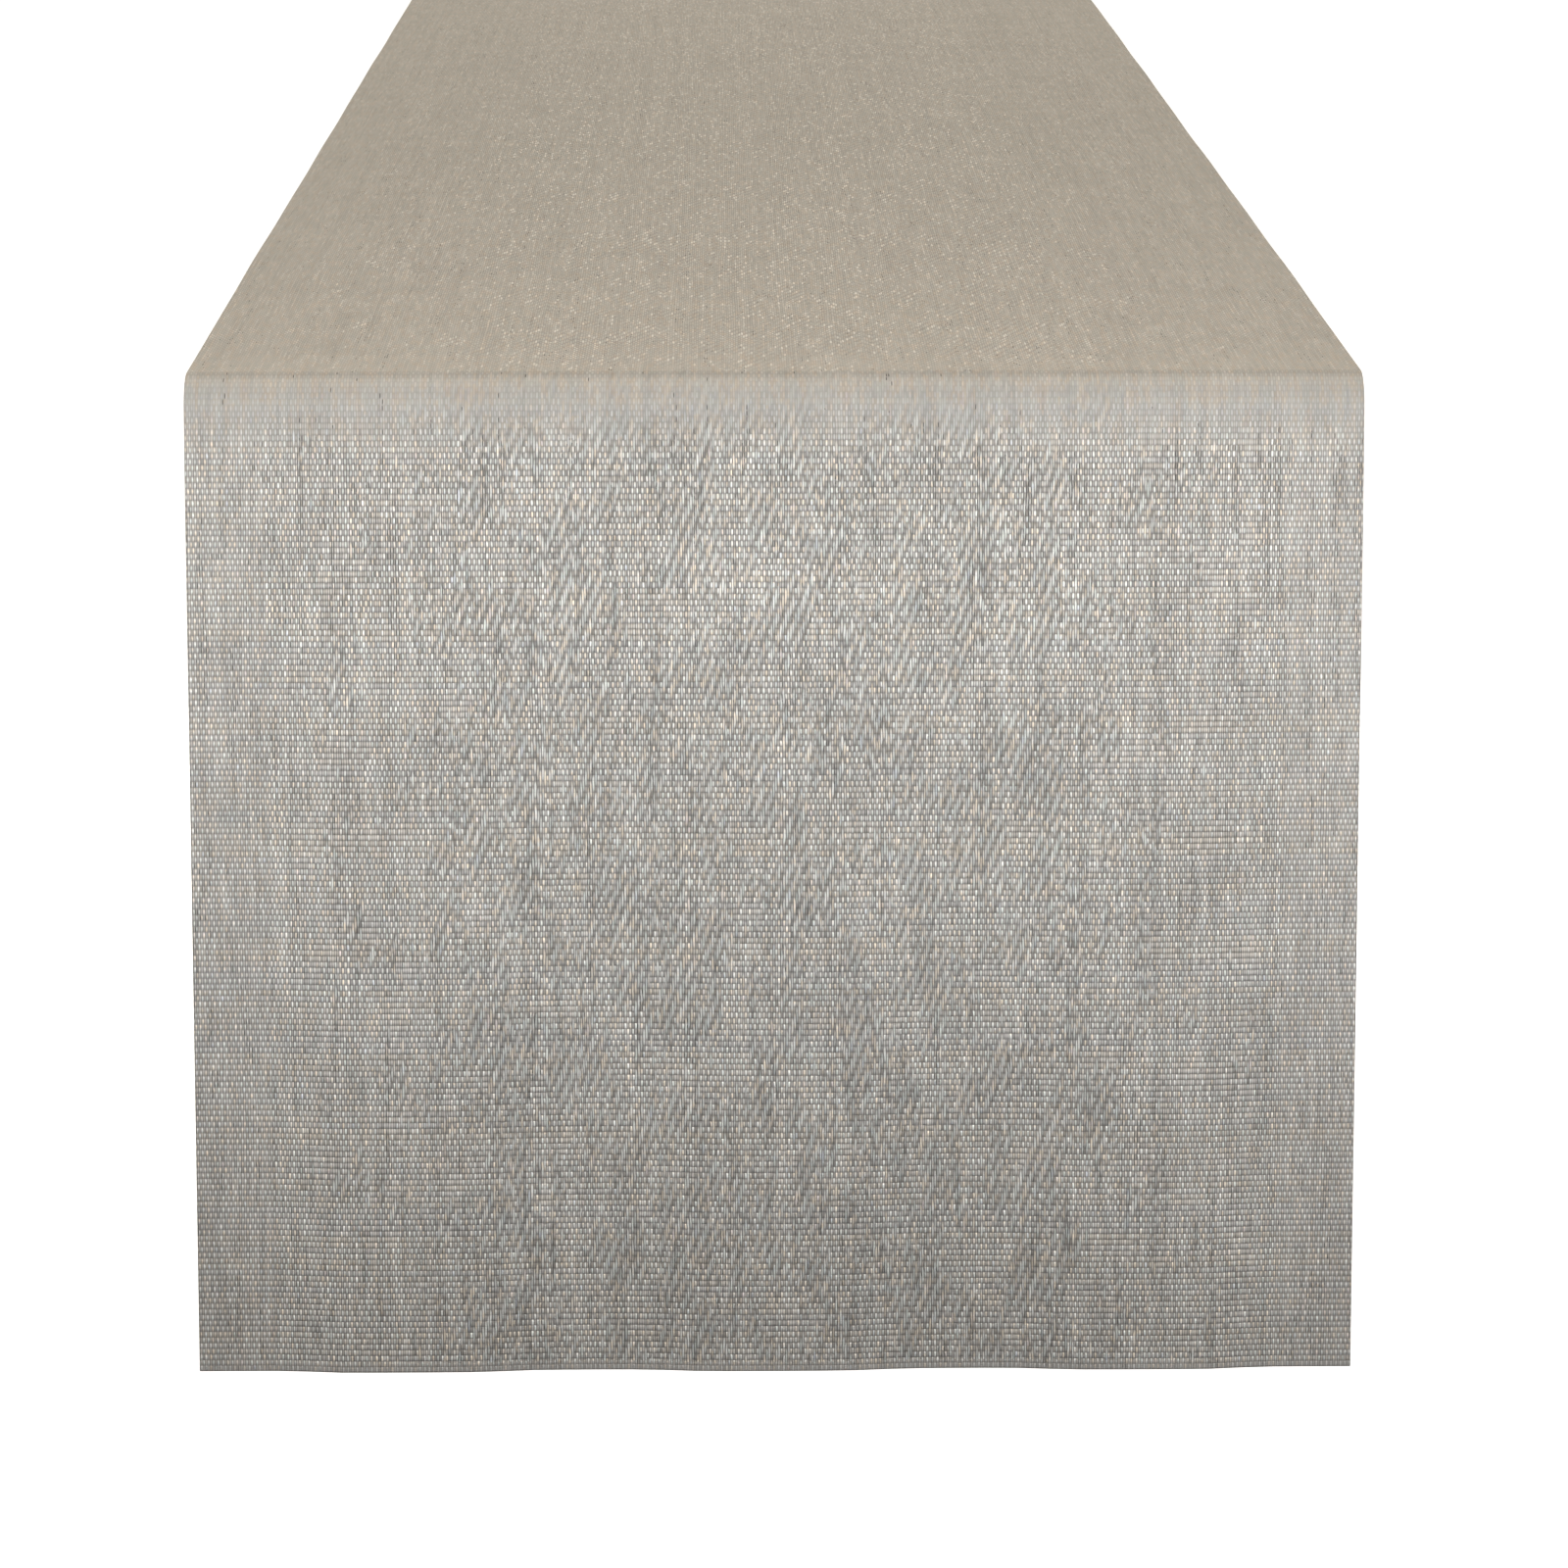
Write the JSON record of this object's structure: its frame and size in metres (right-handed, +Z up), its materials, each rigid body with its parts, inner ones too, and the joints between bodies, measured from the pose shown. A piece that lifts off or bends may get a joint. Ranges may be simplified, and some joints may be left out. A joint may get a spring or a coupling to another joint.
{
  "type": "table runner",
  "caption": "Long narrow woven table runner draped over a table, flat on top with a drop hanging at each end.",
  "frame": {"origin": "on the underside of the cloth, in the middle of the stretch that lies on the table top", "axes": "+Z up, +Y along the runner towards its back drop, +X to the right seen from the front drop"},
  "size_m": [0.356, 1.2554, 0.3088],
  "materials": {
    "woven_field": "figured weave of metallic pewter and champagne vinyl yarn, satin gloss",
    "selvedge": "plain weave of the same yarns, fine and even, satin",
    "sealed_end": "yarns cut straight and melted together, slightly glossy"
  },
  "bodies": {
    "table_stretch": {"top_field": "woven_field", "top_selvedge_left": "selvedge", "top_selvedge_right": "selvedge", "front_upper_bend_field": "woven_field", "front_upper_bend_selvedge_left": "selvedge", "front_upper_bend_selvedge_right": "selvedge", "back_upper_bend_field": "woven_field", "back_upper_bend_selvedge_left": "selvedge", "back_upper_bend_selvedge_right": "selvedge"},
    "front_drop": {"front_lower_bend_field": "woven_field", "front_lower_bend_selvedge_left": "selvedge", "front_lower_bend_selvedge_right": "selvedge", "front_field": "woven_field", "front_selvedge_left": "selvedge", "front_selvedge_right": "selvedge", "front_sealed_end": "sealed_end"},
    "back_drop": {"back_lower_bend_field": "woven_field", "back_lower_bend_selvedge_left": "selvedge", "back_lower_bend_selvedge_right": "selvedge", "back_field": "woven_field", "back_selvedge_left": "selvedge", "back_selvedge_right": "selvedge", "back_sealed_end": "sealed_end"}
  },
  "joints": [
    {"name": "front_fold", "type": "hinge", "parent": "table_stretch", "child": "front_drop", "pos_m": [0, -0.6075, -0.00145], "axis": [-1, 0, 0], "range_deg": [0, 86]},
    {"name": "back_fold", "type": "hinge", "parent": "table_stretch", "child": "back_drop", "pos_m": [0, 0.6075, -0.00145], "axis": [1, 0, 0], "range_deg": [0, 86]}
  ]
}
